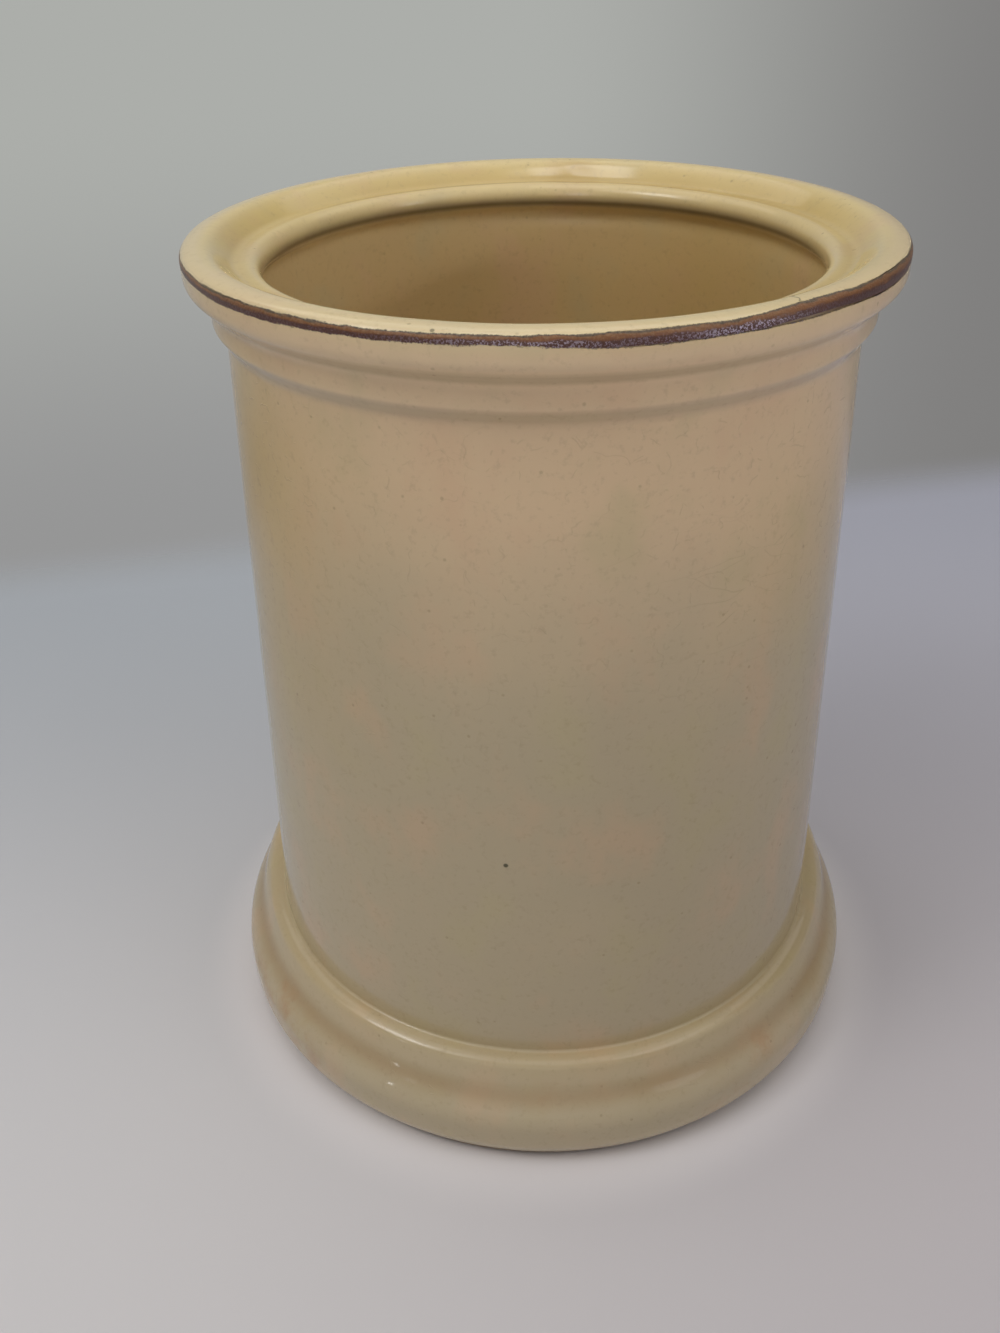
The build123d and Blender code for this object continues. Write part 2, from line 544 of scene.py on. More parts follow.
@dataclass(frozen=True)
class Pot:
    """The whole finished surface, with the places where the band and the glaze end.

    Lengths are in millimetres. The inside's rings start below the crest, and the waves are calmed near
    the axis and where the pot stands.
    """

    section: Section
    path: SectionPath
    wiped_path: SectionPath
    hand: Hand = Hand()
    columns: int = 384
    glaze: float = 0.4
    wiped: float = 0.22
    bare_height: float = 1.5
    bare_ease: float = 2.0
    rings_start: float = 14.0
    rings_ease: float = 12.0
    calm_radius: float = 6.0
    stand_height: float = 0.6
    front_share: float = 0.5
    front_slope: float = 1.2
    end_ease: float = 4.0
    band_top_run: float = 1.1
    band_low_run: float = 0.5
    top_dabs: tuple[Dab, ...] = (
        Dab(262, 13, 0.38), Dab(285, 13, 0.75), Dab(308, 10, 1.4), Dab(327, 14, 0.95),
        Dab(20, 30, 0.7), Dab(95, 40, 0.4), Dab(150, 25, 0.5),
    )
    low_dabs: tuple[Dab, ...] = (
        Dab(222, 12, 0.3), Dab(265, 10, -0.3), Dab(281, 8, 0.3), Dab(303, 10, 0.15), Dab(329, 12, 0.45),
        Dab(60, 30, 0.3), Dab(120, 20, -0.2),
    )
    top_tremor: tuple[Ripple, ...] = (Ripple(0.16, 31, (5, 26)), Ripple(0.10, 32, (30, 75)))
    low_tremor: tuple[Ripple, ...] = (Ripple(0.14, 41, (4, 22)), Ripple(0.08, 42, (30, 70)))
    end_waver: Ripple = Ripple(0.35, 51, (2, 17))
    pit: Blot = Blot(angle=82.8, radius=58.9, height=173.2, size=3.4, strength=0.32)

    @property
    def angles(self) -> Array:
        """The angles of the columns, as one row."""
        return np.linspace(0.0, 2 * math.pi, self.columns, endpoint=False)[None]

    @property
    def lip_run(self) -> float:
        """The run at which the lip's face becomes upright."""
        widest = self.path.radius > self.section.lip_radius - TOUCH
        return float(self.path.run[widest & (self.path.height > self.section.height / 2)][0])

    @property
    def crest_run(self) -> float:
        """The run at the top of the rim."""
        return self.path.nearest(self.section.lip_radius - self.section.crest_setback, self.section.height)

    @staticmethod
    def reach(angle: Array, plain: float, dabs: Sequence[Dab], tremor: Sequence[Ripple]) -> Array:
        """How far a brushed edge reaches: a plain line, the brush's dabs and its small tremor."""
        return plain + sum(dab.profile(angle) for dab in dabs) + sum(wave.rise(angle) for wave in tremor)

    def band_top(self, angle: Array) -> Array:
        """The run of the band's upper edge."""
        return self.lip_run - self.reach(angle, self.band_top_run, self.top_dabs, self.top_tremor)

    def band_low(self, angle: Array) -> Array:
        """The run of the band's lower edge."""
        return self.lip_run + self.reach(angle, self.band_low_run, self.low_dabs, self.low_tremor)

    def glaze_end(self, angle: Array) -> Array:
        """The run at which the wiped foot begins: a height over the table that wavers a little."""
        line = self.path.nearest(self.section.foot_radius - self.section.foot_tuck, self.bare_height)
        return line + self.end_waver.rise(angle)

    def surface(self, angle: Array, run: Array, depth: Array | float = 0.0) -> Array:
        """Points of the pot.

        A point stands on the section's circle at its run, moved along the section's normal by the
        hand's rise less the depth, and turned round the axis by its angle.

        Args:
            angle: Angles in radians.
            run: Runs in millimetres.
            depth: Depth under the finished surface in millimetres.

        Returns:
            Points in metres, with the three coordinates last.
        """
        radius, height, out, up = self.path.place(run)
        aside, down = self.wipe(angle, run)
        inner = ramp(run, self.crest_run - self.rings_start, -self.rings_ease)
        bare = ramp(run, self.glaze_end(angle), self.bare_ease)
        rise = self.hand.glazed(angle, run, inner) * (1 - bare) + self.hand.turned(angle, run) * bare
        rise = rise - self.spread(self.pit, angle, run) - self.throat(run) - depth
        stand = ramp(height, 0.0, self.stand_height) * bare + (1 - bare)
        rise = rise * ramp(radius, 0.0, self.calm_radius) * np.maximum(stand, np.asarray(depth) > 0)
        radius = np.maximum(radius + aside + out * rise, 0.0)
        height = height + down + up * rise
        return np.stack([radius * np.cos(angle), radius * np.sin(angle), height + 0 * angle], -1) * MM

    def spread(self, blot: Blot, angle: Array, run: Array) -> Array:
        """A bell curve of the distance from a blot's place, measured round the pot and along the run."""
        away = run - self.path.nearest(blot.radius, blot.height)
        return blot.strength * bell(np.hypot(turned_from(angle, blot.angle) * blot.radius, away), blot.size)

    def throat(self, run: Array) -> Array:
        """The depth of the shallow ring that the thrower's finger left under the throat.

        Args:
            run: Runs in millimetres.

        Returns:
            Depths in millimetres.
        """
        section, hand = self.section, self.hand
        level = section.height - section.throat_drop - hand.throat_hollow_drop
        home = self.path.nearest(section.neck_radius - section.wall_thickness, level)
        return hand.throat_hollow * bell(run - home, hand.throat_hollow_spread)

    def wipe(self, angle: Array, run: Array) -> tuple[Array, Array]:
        """How far the front of the foot stands back from the turned section, in radius and in height.

        From the crease to the widest place, a run keeps its share of the way on the wiped section. The
        shift between the two is full at the front and fades out smoothly past the sides.

        Args:
            angle: Angles in radians.
            run: Runs in millimetres.

        Returns:
            The shifts of the radius and of the height.
        """
        section = self.section
        widest = (section.foot_tuck_height + section.foot_shoulder_height) / 2
        marks = ((section.wall_radius, section.crease_height), (section.foot_radius, widest))
        ends = [self.path.nearest(*mark) for mark in marks]
        wiped_ends = [self.wiped_path.nearest(*mark) for mark in marks]
        here = self.path.place(run)
        there = self.wiped_path.place(np.interp(run, ends, wiped_ends))
        front = np.clip(self.front_share - self.front_slope * np.sin(angle), 0.0, 1.0)
        share = front**2 * (3 - 2 * front) * ((run > ends[0]) & (run < ends[1]))
        return share * (there[0] - here[0]), share * (there[1] - here[1])

    def rows(self, start: Array, stop: Array, step: float, turn: float) -> Array:
        """Rows of runs between two wavering lines round the pot.

        They are the path's stations between the means of the two lines. The shift of each end to its
        line fades to nothing over a short length, by a cosine.

        Args:
            start: Run of the first row at each angle.
            stop: Run of the last row at each angle.
            step: Longest interval, in millimetres.
            turn: Most turning in an interval, in degrees.

        Returns:
            Runs with a row for each station and a column for each angle.
        """
        first, last = float(np.mean(start)), float(np.mean(stop))
        stations = self.path.stations(first, last, step, turn)[:, None]
        near_first = (1 + np.cos(math.pi * ramp(stations, first, self.end_ease))) / 2
        near_last = (1 + np.cos(math.pi * ramp(stations, last, -self.end_ease))) / 2
        return stations + near_first * (start - first) + near_last * (stop - last)


# Meshes


def grid_faces(rows: int, columns: int, ring: bool) -> Array:
    """The quads of a grid that closes round its columns.

    The face at row i and column j has its corners at (i, j), (i + 1, j), (i + 1, j + 1) and (i, j + 1),
    with the last column joined to the first, and in a ring the last row to the first.

    Args:
        rows: Number of rows.
        columns: Number of columns.
        ring: Whether the rows close on themselves too.

    Returns:
        Four vertex numbers for each face.
    """
    i = np.arange(rows if ring else rows - 1)[:, None]
    j = np.arange(columns)[None]
    below, beside = (i + 1) % rows, (j + 1) % columns
    corners = [i * columns + j, below * columns + j, below * columns + beside, i * columns + beside]
    return np.stack(corners, -1).reshape(-1, 4)


def make_piece(
    layer: Layer, points: Array, poles: bool, values: dict[str, Array], sharp: float = 50.0
) -> bpy.types.Object:
    """Makes a closed piece from a grid of points and puts it in the place of its frame node.

    With poles, the first and the last row are single points on the axis, and a fan of triangles joins
    each to the row beside it. Without them the rows close on themselves.

    Args:
        layer: The layer that the piece is.
        points: Points with a row for each station and a column for each angle.
        poles: Whether the first and last rows are points on the axis.
        values: Named numbers for each point.
        sharp: Angle in degrees past which an edge stays sharp.

    Returns:
        The new object.
    """
    rows, columns = points.shape[:2]
    if poles:
        body = points[1:-1].reshape(-1, 3)
        spots = np.vstack([body, points[0].mean(0), points[-1].mean(0)])
        faces = grid_faces(rows - 2, columns, False).tolist()
        j = np.arange(columns)
        last = (rows - 3) * columns
        first_pole, last_pole = len(body), len(body) + 1
        faces += np.stack([np.full(columns, first_pole), j, (j + 1) % columns], -1).tolist()
        faces += np.stack([last + j, np.full(columns, last_pole), last + (j + 1) % columns], -1).tolist()
    else:
        spots = points.reshape(-1, 3)
        faces = grid_faces(rows, columns, True).tolist()
    mesh = bpy.data.meshes.new(f"{layer.value}_finished")
    mesh.from_pydata(spots.tolist(), [], faces)
    for name, value in values.items():
        full = np.broadcast_to(value, points.shape[:2])
        flat = np.r_[full[1:-1].ravel(), full[0].mean(), full[-1].mean()] if poles else full.ravel()
        mesh.attributes.new(name, "FLOAT", "POINT").data.foreach_set("value", flat.astype(np.float32))
    mesh.shade_smooth()
    mesh.set_sharp_from_angle(angle=math.radians(sharp))
    mesh.update()
    piece = bpy.data.objects.new(f"{layer.value}_finished", mesh)
    bpy.context.scene.collection.objects.link(piece)
    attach(piece, "root")
    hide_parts(layer.value)
    return piece


# Patterns and shader nodes


@dataclass(frozen=True)
class Cloud:
    """A cloudy noise: its features in a millimetre, its detail and roughness, the noise values between
    which it goes from one result to the other, and how it is stretched along each axis."""

    per_mm: float
    detail: float = 2.0
    rough: float = 0.5
    span: Span = RISING
    ends: Span = RISING
    stretch: Place = EVEN


@dataclass(frozen=True)
class Cracks:
    """Fine lines on the borders of bent cells: the cells in a millimetre, the distances from a border
    between which a line fades out, how far in millimetres the cells are bent and by how many waves in a
    millimetre, and how they are stretched along each axis."""

    per_mm: float
    span: Span
    bend: float
    bend_per_mm: float
    stretch: Place = EVEN


@dataclass(frozen=True)
class Dots:
    """Round dots at the points of cells: the cells in a millimetre, the distances from a point between
    which a dot fades out, and the random numbers between which a cell comes to be picked."""

    per_mm: float
    span: Span
    pick: Span


class Bench:
    """Adds nodes to one material and wires them up.

    It keeps the colour laid so far and the normal tilted so far. The mix node's sockets are told apart
    by number: the share, then both colours or both numbers, and the colour that comes out.
    """

    COLOUR_INPUTS = (0, 6, 7)
    NUMBER_INPUTS = (0, 2, 3)
    COLOUR_OUTPUT = 2

    def __init__(self, name: str) -> None:
        """Starts an empty material with one surface shader."""
        self.start(bpy.data.materials.new(name), "BsdfPrincipled", "OutputMaterial")

    def start(self, owner: bpy.types.ID, shader: str, output: str) -> None:
        """Empties a node tree and joins a shader to its output.

        Args:
            owner: The material or the world that has the tree.
            shader: Kind of the shader node.
            output: Kind of the output node.
        """
        owner.use_nodes = True
        self.owner = owner
        self.tree = owner.node_tree
        self.tree.nodes.clear()
        self.shader = self.node(shader)
        self.node(output, {"Surface": self.shader.outputs[0]})
        self.places: dict[Place, Socket] = {}
        self.colour: Socket | None = None
        self.normal: Socket | None = None

    def node(self, kind: str, inputs: Inputs | None = None, **settings: object) -> bpy.types.Node:
        """Adds a node.

        Args:
            kind: The node's type after its first word, ShaderNode.
            inputs: What goes into each input, by its name or number.
            settings: The node's own settings.

        Returns:
            The node.
        """
        node = self.tree.nodes.new("ShaderNode" + kind)
        for name, setting in settings.items():
            setattr(node, name, setting)
        self.feed(node, inputs or {})
        return node

    def feed(self, node: bpy.types.Node, inputs: Inputs) -> None:
        """Wires a node's inputs to sockets, or sets them to numbers, places or colours.

        Args:
            node: The node.
            inputs: What goes into each input, by its name or number.
        """
        for name, value in inputs.items():
            socket = node.inputs[name]
            if isinstance(value, bpy.types.NodeSocket):
                self.tree.links.new(value, socket)
            else:
                socket.default_value = (*value, 1.0) if socket.type == "RGBA" else value

    def place(self, stretch: Place = EVEN) -> Socket:
        """The place on the object, stretched along each axis and made once for each stretch.

        Args:
            stretch: Scale along each axis.

        Returns:
            The place.
        """
        if stretch not in self.places:
            inputs = {"Vector": self.node("TexCoord").outputs["Object"], "Scale": stretch}
            self.places[stretch] = self.node("Mapping", inputs).outputs["Vector"]
        return self.places[stretch]

    def split(self, place: Socket) -> list[Socket]:
        """The three numbers of a place."""
        return list(self.node("SeparateXYZ", {"Vector": place}).outputs)

    def value(self, name: str) -> Socket:
        """The piece's own named number."""
        return self.node("Attribute", attribute_name=name).outputs["Fac"]

    def noise(self, cloud: Cloud, output: str = "Fac") -> Socket:
        """Cloudy noise from 0 to 1, or as a colour."""
        inputs = {"Scale": cloud.per_mm / MM, "Detail": cloud.detail, "Roughness": cloud.rough}
        return self.node("TexNoise", {"Vector": self.place(cloud.stretch)} | inputs).outputs[output]

    def cloud(self, cloud: Cloud) -> Socket:
        """Cloudy noise, faded over its span."""
        return self.fade(self.noise(cloud), cloud.span, cloud.ends)

    def cracks(self, cracks: Cracks) -> Socket:
        """Fine lines on the borders of cells.

        The place is moved by three noises at once, each as far as the bend at most, before the cells
        are drawn.

        Args:
            cracks: The lines.

        Returns:
            One on a line and zero off it.
        """
        bend = self.noise(Cloud(cracks.bend_per_mm), "Color")
        moved = {0: bend, 1: (cracks.bend * MM,) * 3, 2: self.place(cracks.stretch)}
        bent = self.node("VectorMath", moved, operation="MULTIPLY_ADD").outputs["Vector"]
        inputs = {"Vector": bent, "Scale": cracks.per_mm / MM}
        cells = self.node("TexVoronoi", inputs, feature="DISTANCE_TO_EDGE")
        return self.fade(cells.outputs["Distance"], cracks.span, FALLING)

    def dots(self, dots: Dots) -> tuple[Socket, Socket]:
        """Round dots at the points of cells.

        Args:
            dots: The dots.

        Returns:
            All the dots, and those of the picked cells alone.
        """
        cells = self.node("TexVoronoi", {"Vector": self.place(), "Scale": dots.per_mm / MM})
        dot = self.fade(cells.outputs["Distance"], dots.span, FALLING)
        number = self.node("SeparateColor", {"Color": cells.outputs["Color"]}).outputs["Red"]
        return dot, self.product(dot, self.fade(number, dots.pick))

    def spot(self, place: Place, size: float) -> Socket:
        """A round spot: one within half its size of a place in metres, and zero from the size on."""
        away = self.node("VectorMath", {0: self.place(), 1: place}, operation="DISTANCE")
        return self.fade(away.outputs["Value"], (size * MM / 2, size * MM), FALLING)

    def maths(self, operation: str, *numbers: Input) -> Socket:
        """One arithmetic step on two or three numbers."""
        return self.node("Math", dict(enumerate(numbers)), operation=operation).outputs["Value"]

    def product(self, *factors: Input) -> Socket:
        """The product of some numbers."""
        return reduce(partial(self.maths, "MULTIPLY"), factors)

    def fade(self, value: Input, span: Span, ends: Span = RISING) -> Socket:
        """Goes smoothly from one end to the other as the value crosses the span."""
        limits = dict(zip(("From Min", "From Max", "To Min", "To Max"), (*span, *ends)))
        return self.node("MapRange", {"Value": value} | limits, interpolation_type="SMOOTHSTEP").outputs[0]

    def mix(self, share: Input, first: Input, second: Input) -> Socket:
        """Mixes two colours by a share from 0 to 1."""
        inputs = dict(zip(self.COLOUR_INPUTS, (share, first, second)))
        return self.node("Mix", inputs, data_type="RGBA").outputs[self.COLOUR_OUTPUT]

    def blend(self, share: Input, first: Input, second: Input) -> Socket:
        """Mixes two numbers by a share from 0 to 1."""
        return self.node("Mix", dict(zip(self.NUMBER_INPUTS, (share, first, second)))).outputs[0]

    def lay(self, share: Input, colour: Input) -> None:
        """Lays another colour over what has been laid, by a share from 0 to 1."""
        self.colour = self.mix(share, self.colour, colour)

    def bump(self, height: Input, far: float) -> None:
        """Tilts the normal as a height map would.

        Args:
            height: The height map.
            far: Height in millimetres of a map's one.
        """
        inputs = {"Strength": 1.0, "Distance": far * MM, "Height": height}
        if self.normal:
            inputs["Normal"] = self.normal
        self.normal = self.node("Bump", inputs).outputs["Normal"]


class SkyBench(Bench):
    """Adds nodes to the world in the same way."""

    def __init__(self, name: str) -> None:
        """Starts an empty world with one background shader."""
        self.start(bpy.data.worlds.new(name), "Background", "OutputWorld")


# Finishes


@dataclass(frozen=True)
class BandFinish:
    """The brown band: ragged, dark on its edges, amber at the top, dark and lustred lower down, its
    lilac-white sparks partly painted glint.
    """

    edge: Colour = paint(50, 28, 14)
    light: Colour = paint(122, 76, 36)
    dark: Colour = paint(80, 43, 32)
    # Lilac-white sparks laid into the colour: partly a real metallic lustre, partly painted glint.
    lustre_and_glint: Colour = paint(222, 212, 230)
    streaks: Cloud = Cloud(0.9, 3.0, 0.65, stretch=(0.3, 0.3, 1.5))
    bristles: Cloud = Cloud(2.4, 2.0, 0.6)
    edge_streaks: float = 0.8
    edge_bristles: float = 0.5
    edge_span: Span = (-0.10, 0.14)
    across_streaks: float = 0.7
    light_span: Span = (0.10, 0.24)
    dark_span: Span = (0.36, 0.58)
    cover_bristles: float = 1.2
    cover_span: Span = (0.0, 0.5)
    cover_ends: Span = (0.9, 1.0)
    lustre_span: Span = (0.40, 0.66)
    sparks: Cloud = Cloud(2.9, 2.0, 0.7, span=(0.48, 0.60))
    lustre_tint: float = 0.75
    lustre_metal: float = 0.8

    def lay(self, bench: Bench) -> tuple[Socket, Socket]:
        """Lays the band over the glaze.

        Args:
            bench: The bench of the glaze.

        Returns:
            The band's share and the share of metallic lustre.
        """
        streaks = bench.maths("SUBTRACT", bench.noise(self.streaks), MIDDLE)
        bristles = bench.maths("SUBTRACT", bench.noise(self.bristles), MIDDLE)
        ragged = bench.maths("MULTIPLY_ADD", streaks, self.edge_streaks, bench.value("brush"))
        ragged = bench.maths("MULTIPLY_ADD", bristles, self.edge_bristles, ragged)
        share = bench.fade(ragged, self.edge_span)
        across = bench.maths("MULTIPLY_ADD", streaks, self.across_streaks, bench.value("across"))
        iron = bench.mix(bench.fade(across, self.light_span), self.edge, self.light)
        iron = bench.mix(bench.fade(across, self.dark_span), iron, self.dark)
        cover = bench.maths("MULTIPLY_ADD", bristles, self.cover_bristles, across)
        bench.lay(bench.product(share, bench.fade(cover, self.cover_span, self.cover_ends)), iron)
        low = bench.fade(across, self.lustre_span)
        lustre_and_glint = bench.product(low, share, bench.cloud(self.sparks), bench.value("lustre_and_glint"))
        # Lays the lilac-white sparks: partly real lustre, partly painted glint.
        bench.lay(bench.product(lustre_and_glint, self.lustre_tint), self.lustre_and_glint)
        return share, bench.product(lustre_and_glint, self.lustre_metal)


@dataclass(frozen=True)
class GlazeFinish:
    """Cream glaze over stoneware, with the brown band brushed on it, as every glazed layer wears it."""

    # Low to high up the wall: partly a real peach tint, partly painted light on the upper wall and painted
    # shade on the lower wall.
    low: Colour = paint(198, 182, 150)
    high: Colour = paint(227, 199, 160)
    rim: Colour = paint(227, 205, 142)
    # Painted shade inside the pot: the same cream glaze laid as a yellower, darker honey.
    inside_shade_honey: Colour = paint(214, 187, 134)
    # Painted shade on the downward faces of the grooves under the rim.
    groove_shade: Colour = paint(168, 150, 122)
    # Painted shade in the foot's cove, a darker sienna.
    cove_shade_sienna: Colour = paint(168, 138, 98)
    gold: Colour = paint(196, 166, 98)
    peach: Colour = paint(222, 184, 148)
    khaki: Colour = paint(200, 186, 142)
    thin: Colour = paint(226, 206, 170)
    rust: Colour = paint(184, 122, 66)
    umber: Colour = paint(70, 44, 14)
    craze: Colour = paint(150, 122, 90)
    speck: Colour = paint(70, 66, 40)
    band: BandFinish = BandFinish()
    band_roughness: float = 0.33
    band_grain: Cloud = Cloud(3.2, 2.0, 0.7)
    band_grain_height: float = 0.10
    roughness: Cloud = Cloud(0.05, span=(0.3, 0.7), ends=(0.075, 0.125))
    refraction: float = 1.5
    swells: tuple[tuple[Cloud, float], ...] = ((Cloud(0.13), 0.06), (Cloud(0.5), 0.012))
    crack_height: float = 0.05
    base: Cloud = Cloud(0.028, 3.0, span=(0.2, 0.8), ends=(0.6, 1.0))
    tone_drift: float = 0.9
    patches: Cloud = Cloud(0.06, 3.0, 0.55, stretch=(1.0, 1.0, 0.7))
    patch_ends: Span = (0.0, 0.38)
    peach_span: Span = (0.50, 0.72)
    khaki_span: Span = (0.48, 0.28)
    grain: Cloud = Cloud(0.7, 3.0, 0.65, span=(0.52, 0.75), ends=(0.0, 0.16))
    arcs: Cracks = Cracks(0.10, (0.003, 0.009), 14.0, 0.05, (0.4, 0.4, 1.5))
    arc_gaps: Cloud = Cloud(0.12, 2.0, span=(0.42, 0.52))
    dashes: Cracks = Cracks(0.16, (0.006, 0.02), 5.0, 0.2)
    dash_gaps: Cloud = Cloud(0.42, 1.0, span=(0.53, 0.60))
    craze_strength: float = 0.10
    rust_cloud: Cloud = Cloud(0.16, 4.0, 0.6, span=(0.35, 0.7))
    rust_strength: float = 0.5
    hairs: Cracks = Cracks(0.24, (0.015, 0.05), 1.6, 0.5)
    hair_span: Span = (0.35, 0.6)
    hair_strength: float = 0.55
    pinholes: Dots = Dots(0.32, (0.05, 0.14), (0.80, 0.86))
    pinhole_strength: float = 0.30

    def material(self, name: str, specks: Sequence[Speck]) -> bpy.types.Material:
        """Builds the glaze.

        Args:
            name: Name of the material.
            specks: Place in metres, size in millimetres and strength of each single iron speck.

        Returns:
            The material.
        """
        bench = Bench(name)
        self._lay_cream(bench)
        cracks = self._lay_cracks(bench)
        self._lay_rust(bench)
        pinholes = self._lay_specks(bench, specks)
        share, lustre_and_glint = self.band.lay(bench)
        for cloud, far in self.swells:
            bench.bump(bench.noise(cloud), far)
        bench.bump(bench.maths("SUBTRACT", cracks, pinholes), self.crack_height)
        bench.bump(bench.product(share, bench.noise(self.band_grain)), self.band_grain_height)
        rough = bench.blend(share, bench.cloud(self.roughness), self.band_roughness)
        look = {"Base Color": bench.colour, "Roughness": rough, "Metallic": lustre_and_glint}
        bench.feed(bench.shader, look | {"IOR": self.refraction, "Normal": bench.normal})
        return bench.owner

    def _lay_cream(self, bench: Bench) -> None:
        """Lays the cream: greyer low on the wall and lighter peach above, partly painted light, yellow on
        the rim, gold where it pools, and painted shade as a honey tone inside and in the grooves and the
        cove.

        Args:
            bench: The bench of the glaze.
        """
        base = bench.noise(self.base)
        drift = bench.maths("SUBTRACT", base, MIDDLE)
        # Greyer and darker low, lighter and peach high: partly a real tint, partly painted light and shade
        # up the wall.
        tone = bench.maths("MULTIPLY_ADD", drift, self.tone_drift, bench.value("warm_and_lit"))
        bench.colour = bench.mix(bench.fade(tone, RISING), self.low, self.high)
        bench.lay(bench.value("rim"), self.rim)
        # Painted shade: the inside laid as a yellower, darker honey.
        bench.lay(bench.value("inner"), self.inside_shade_honey)
        patches = bench.noise(self.patches)
        bench.lay(bench.fade(patches, self.peach_span, self.patch_ends), self.peach)
        bench.lay(bench.fade(patches, self.khaki_span, self.patch_ends), self.khaki)
        pooled = bench.fade(base, self.base.span, self.base.ends)
        bench.lay(bench.product(bench.value("gold"), pooled), self.gold)
        # Painted shade on the grooves under the rim.
        bench.lay(bench.value("groove_shade"), self.groove_shade)
        # Painted shade in the foot's cove.
        bench.lay(bench.value("brown"), self.cove_shade_sienna)
        bench.lay(bench.value("worn"), self.thin)
        bench.lay(bench.cloud(self.grain), self.craze)
        bench.lay(bench.value("shade"), self.umber)

    def _lay_cracks(self, bench: Bench) -> Socket:
        """Lays the hair cracks: long flat arcs in a few patches, and short dashes.

        Args:
            bench: The bench of the glaze.

        Returns:
            One on a crack and zero off it.
        """
        arcs = bench.product(bench.cracks(self.arcs), bench.cloud(self.arc_gaps), bench.value("arcs"))
        dashes = bench.product(bench.cracks(self.dashes), bench.cloud(self.dash_gaps), bench.value("craze"))
        line = bench.maths("MAXIMUM", dashes, arcs)
        bench.lay(bench.product(line, self.craze_strength), self.craze)
        return line

    def _lay_rust(self, bench: Bench) -> None:
        """Lays the orange blush where iron bled through near the foot's edge.

        Args:
            bench: The bench of the glaze.
        """
        blush = bench.product(bench.value("rust"), bench.cloud(self.rust_cloud), self.rust_strength)
        bench.lay(blush, self.rust)

    def _lay_specks(self, bench: Bench, specks: Sequence[Speck]) -> Socket:
        """Lays the branching hairline on the lip, the pinholes and the single iron specks.

        Args:
            bench: The bench of the glaze.
            specks: Place in metres, size in millimetres and strength of each single iron speck.

        Returns:
            One in a pinhole and zero off it.
        """
        patch = bench.fade(bench.value("hair"), self.hair_span)
        bench.lay(bench.product(bench.cracks(self.hairs), patch, self.hair_strength), self.speck)
        pinholes = bench.dots(self.pinholes)[1]
        bench.lay(bench.product(pinholes, self.pinhole_strength), self.craze)
        for place, size, strength in specks:
            bench.lay(bench.product(bench.spot(place, size), strength), self.speck)
        return pinholes


@dataclass(frozen=True)
class ClayFinish:
    """Bare fired stoneware, matt and gritty."""

    buff: Colour = paint(176, 156, 128)
    dark: Colour = paint(140, 116, 88)
    fleck: Colour = paint(84, 62, 44)
    tone: Cloud = Cloud(0.05, 4.0, span=(0.35, 0.7))
    flecks: Dots = Dots(0.7, (0.12, 0.2), (0.82, 0.86))
    fleck_strength: float = 0.6
    fleck_height: float = 0.03
    roughness: Cloud = Cloud(0.4, 3.0, span=(0.3, 0.7), ends=(0.77, 0.95))
    grit: Cloud = Cloud(1.1, 4.0, 0.7)
    grit_height: float = 0.10

    def material(self, name: str) -> bpy.types.Material:
        """Builds the clay.

        Args:
            name: Name of the material.

        Returns:
            The material.
        """
        bench = Bench(name)
        bench.colour = bench.mix(bench.cloud(self.tone), self.buff, self.dark)
        dots, flecks = bench.dots(self.flecks)
        bench.lay(bench.product(flecks, self.fleck_strength), self.fleck)
        bench.bump(bench.noise(self.grit), self.grit_height)
        bench.bump(dots, self.fleck_height)
        look = {"Base Color": bench.colour, "Roughness": bench.cloud(self.roughness)}
        bench.feed(bench.shader, look | {"Normal": bench.normal})
        return bench.owner


# The layers


